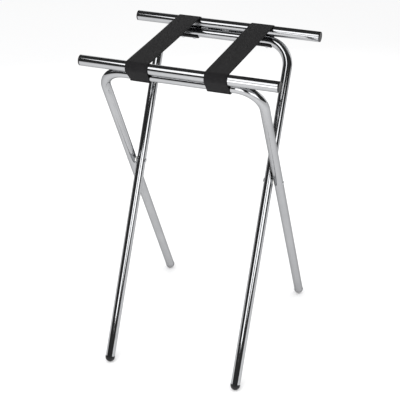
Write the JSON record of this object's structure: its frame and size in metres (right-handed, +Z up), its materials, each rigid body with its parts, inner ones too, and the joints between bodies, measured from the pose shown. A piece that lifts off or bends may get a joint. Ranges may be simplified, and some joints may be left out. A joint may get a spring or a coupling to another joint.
{
  "type": "folding luggage rack",
  "caption": "Tall folding rack of two crossed chrome tube frames that hinge at mid height, with straight top bars joined by black webbing straps.",
  "frame": {"origin": "on the floor, midway between the four feet, under the pivot axis", "axes": "+X along the top bars to the right, +Y to the rear, +Z up"},
  "size_m": [0.475, 0.4926, 0.7919],
  "materials": {
    "chrome_tube": "polished chrome plating",
    "plated_hardware": "bright zinc plating",
    "black_plastic": "moulded, fine satin",
    "grey_plastic": "moulded, fine satin",
    "white_nylon": "natural moulded nylon",
    "webbing": "woven nylon webbing"
  },
  "bodies": {
    "inner_frame": {"inner_frame_tube": "chrome_tube", "rear_top_bar": "chrome_tube", "rear_bar_welds": "chrome_tube", "rear_bar_plug_left": "black_plastic", "rear_bar_plug_right": "black_plastic", "front_foot_left": "black_plastic", "front_foot_right": "black_plastic", "rear_strap_wrap_left": "webbing", "rear_strap_wrap_right": "webbing", "rear_strap_screws": "plated_hardware", "rear_strap_washers": "plated_hardware"},
    "outer_frame": {"outer_frame_tube": "chrome_tube", "front_top_bar": "chrome_tube", "front_bar_welds": "chrome_tube", "front_bar_plug_left": "black_plastic", "front_bar_plug_right": "black_plastic", "rear_foot_left": "grey_plastic", "rear_foot_right": "grey_plastic", "front_strap_wrap_left": "webbing", "front_strap_wrap_right": "webbing", "front_strap_screws": "plated_hardware", "front_strap_washers": "plated_hardware", "pivot_rivet_left": "plated_hardware", "pivot_washer_left": "plated_hardware", "pivot_spacer_left": "white_nylon", "pivot_rivet_right": "plated_hardware", "pivot_washer_right": "plated_hardware", "pivot_spacer_right": "white_nylon"},
    "front_left_strap": {"strap_span_front_left": "webbing"},
    "front_right_strap": {"strap_span_front_right": "webbing"},
    "rear_left_strap": {"strap_span_rear_left": "webbing"},
    "rear_right_strap": {"strap_span_rear_right": "webbing"}
  },
  "joints": [
    {"name": "fold", "type": "hinge", "parent": "inner_frame", "child": "outer_frame", "pos_m": [0, 0, 0.45948], "axis": [-1, 0, 0], "range_deg": [0, 50]},
    {"name": "front_left_drop", "type": "hinge", "parent": "outer_frame", "child": "front_left_strap", "pos_m": [-0.094, -0.16623, 0.77745], "axis": [-1, 0, 0], "range_deg": [0, 65], "deforming": ["strap_span_front_left"]},
    {"name": "front_right_drop", "type": "hinge", "parent": "outer_frame", "child": "front_right_strap", "pos_m": [0.094, -0.16623, 0.77745], "axis": [-1, 0, 0], "range_deg": [0, 65], "deforming": ["strap_span_front_right"]},
    {"name": "rear_left_drop", "type": "hinge", "parent": "inner_frame", "child": "rear_left_strap", "pos_m": [-0.094, 0.16623, 0.77745], "axis": [1, 0, 0], "range_deg": [0, 65], "deforming": ["strap_span_rear_left"]},
    {"name": "rear_right_drop", "type": "hinge", "parent": "inner_frame", "child": "rear_right_strap", "pos_m": [0.094, 0.16623, 0.77745], "axis": [1, 0, 0], "range_deg": [0, 65], "deforming": ["strap_span_rear_right"]}
  ],
  "couplings": [
    {"joint": "front_left_drop", "follows": "fold", "ratio": 1.3},
    {"joint": "front_right_drop", "follows": "fold", "ratio": 1.3},
    {"joint": "rear_left_drop", "follows": "fold", "ratio": 1.3},
    {"joint": "rear_right_drop", "follows": "fold", "ratio": 1.3}
  ]
}
